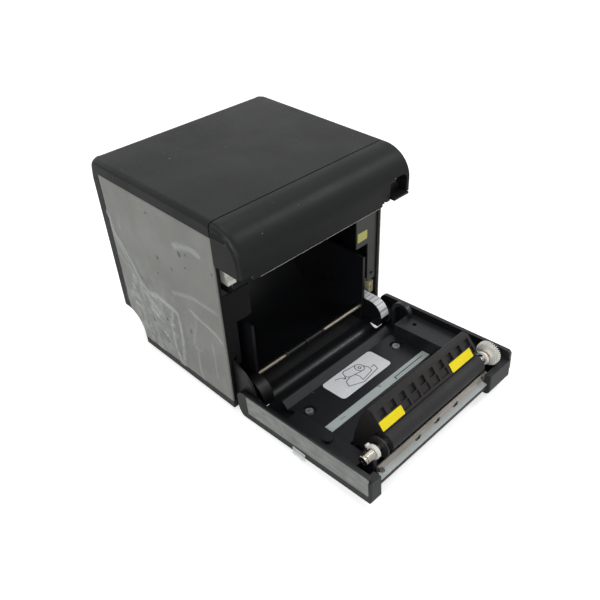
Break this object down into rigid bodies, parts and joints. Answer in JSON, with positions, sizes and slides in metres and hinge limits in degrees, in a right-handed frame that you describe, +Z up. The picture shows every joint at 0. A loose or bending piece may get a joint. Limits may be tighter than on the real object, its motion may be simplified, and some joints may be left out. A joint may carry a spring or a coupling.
{
  "type": "receipt printer",
  "caption": "Cube-shaped desktop receipt printer for 80 mm paper rolls with its drop-down front door open, showing the roller, tear plate, paper guide and roll bay.",
  "frame": {"origin": "middle of the ground rectangle that the printer covers with its door open, on the floor under the feet", "axes": "+X to the printer's right side seen from the front (release lever side), +Y towards its back, +Z up"},
  "size_m": [0.1304, 0.2152, 0.1282],
  "materials": {
    "case_plastic": "fine satin texture",
    "black_plastic": "matt",
    "panel_grey": "fine satin grain",
    "clear_film": "wrinkled protective film",
    "foot_rubber": "matt",
    "roller_rubber": "ground",
    "stainless": "brushed",
    "zinc_steel": "zinc plated",
    "bright_steel": "polished",
    "alloy": "plain",
    "white_nylon": "moulded nylon",
    "bronze": "sintered bushing",
    "brass": "machined",
    "cream_plastic": "matt",
    "flex_white": "flat flexible cable",
    "board_green": "circuit board",
    "motor_steel": "plated can",
    "strip_grey": "smooth tape"
  },
  "bodies": {
    "case": {"bottom_case": "black_plastic", "rubber_feet": "foot_rubber", "top_cover": "case_plastic", "rear_cover": "case_plastic", "side_panel_left": "panel_grey", "side_panel_right": "panel_grey", "side_film_left": "clear_film", "side_film_right": "clear_film", "front_cap": "case_plastic", "cap_inlay_left": "panel_grey", "cap_inlay_right": "panel_grey", "exit_strip": "stainless", "connector_panel": "zinc_steel", "power_inlet": "black_plastic", "usb_port": "zinc_steel", "lan_port": "zinc_steel", "drawer_port": "black_plastic", "roll_bay": "black_plastic", "wall_plate_left": "zinc_steel", "wall_plate_right": "zinc_steel", "cable_clip": "cream_plastic", "head_frame": "zinc_steel", "print_head": "alloy", "bearing_seats": "white_nylon", "cutter_housing": "black_plastic", "drive_motor": "motor_steel", "rod_cheeks": "black_plastic", "support_rod": "bright_steel", "main_board": "board_green", "flat_cable": "flex_white", "hinge_pins": "bright_steel"},
    "door": {"door_shell": "case_plastic", "door_inlay_left": "panel_grey", "door_inlay_right": "panel_grey", "door_bed": "black_plastic", "bed_screws": "bright_steel", "bed_strip": "strip_grey", "guide_block": "black_plastic", "tear_plate": "stainless", "lower_plate": "strip_grey", "plate_screws": "zinc_steel", "bearing_clips": "white_nylon", "bearing_bushes": "bronze"},
    "roller": {"spacer_ring": "brass", "platen_shaft": "bright_steel", "platen_rubber": "roller_rubber", "platen_gear": "white_nylon"},
    "latch": {"latch_shaft": "bright_steel", "release_lever": "black_plastic", "latch_hooks": "white_nylon"},
    "cutter": {"cutter_blade": "stainless"},
    "pinion": {"motor_pinion": "brass"},
    "front_wheel": {"idler_front": "white_nylon"},
    "rear_wheel": {"idler_rear": "white_nylon"},
    "sleeve": {"support_sleeve": "black_plastic"},
    "flap": {"end_flap": "black_plastic"}
  },
  "joints": [
    {"name": "door_hinge", "type": "hinge", "parent": "case", "child": "door", "pos_m": [0, -0.01339, 0.0084], "axis": [-1, 0, 0], "range_deg": [0, 86.4]},
    {"name": "roller_turn", "type": "hinge", "parent": "door", "child": "roller", "pos_m": [0, -0.09604, 0.02607], "axis": [1, 0, 0], "continuous": true},
    {"name": "latch_turn", "type": "hinge", "parent": "case", "child": "latch", "pos_m": [0, -0.01539, 0.1102], "axis": [1, 0, 0], "range_deg": [0, 4], "stiffness_Nm_per_rad": 0.06, "springref_deg": -2.86},
    {"name": "cutter_slide", "type": "slide", "parent": "case", "child": "cutter", "axis": [0, 0, -1], "range_m": [0, 0.0065]},
    {"name": "pinion_turn", "type": "hinge", "parent": "case", "child": "pinion", "pos_m": [0.05, 0.03241, 0.1082], "axis": [1, 0, 0], "continuous": true},
    {"name": "front_wheel_turn", "type": "hinge", "parent": "case", "child": "front_wheel", "pos_m": [0.054, 0.00917, 0.10405], "axis": [1, 0, 0], "continuous": true},
    {"name": "rear_wheel_turn", "type": "hinge", "parent": "case", "child": "rear_wheel", "pos_m": [0.054, 0.022, 0.11124], "axis": [1, 0, 0], "continuous": true},
    {"name": "sleeve_turn", "type": "hinge", "parent": "case", "child": "sleeve", "pos_m": [0, -0.00069, 0.0162], "axis": [1, 0, 0], "continuous": true},
    {"name": "flap_swing", "type": "hinge", "parent": "case", "child": "flap", "pos_m": [0.047, 0.02461, 0.0292], "axis": [0, -1, 0], "range_deg": [0, 25], "stiffness_Nm_per_rad": 0.0005, "springref_deg": -5.73}
  ],
  "couplings": [
    {"joint": "rear_wheel_turn", "follows": "pinion_turn", "ratio": -0.47619},
    {"joint": "front_wheel_turn", "follows": "pinion_turn", "ratio": 0.47619}
  ]
}
